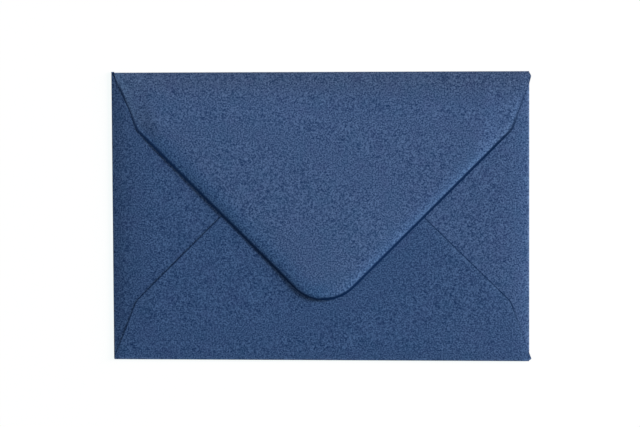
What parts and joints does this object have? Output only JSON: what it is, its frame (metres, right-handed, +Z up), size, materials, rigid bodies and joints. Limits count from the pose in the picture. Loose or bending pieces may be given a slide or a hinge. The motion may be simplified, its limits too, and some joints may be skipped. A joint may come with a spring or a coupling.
{
  "type": "paper envelope",
  "caption": "Landscape paper envelope with a deep pointed flap, folded from one sheet with slanting glued back seams, lying closed but unsealed and empty.",
  "frame": {"origin": "centre of the front panel's outer face, on the surface that the envelope lies on", "axes": "+X along the long side, to the right when the flap side is seen with the flap's fold at the top; +Y towards the flap's fold; +Z up, out of the flap side"},
  "size_m": [0.1608, 0.1109, 0.0035],
  "materials": {
    "blue_paper": "uncoated dark blue mottled paper"
  },
  "bodies": {
    "root": {"envelope_sheet": "blue_paper"}
  },
  "joints": []
}
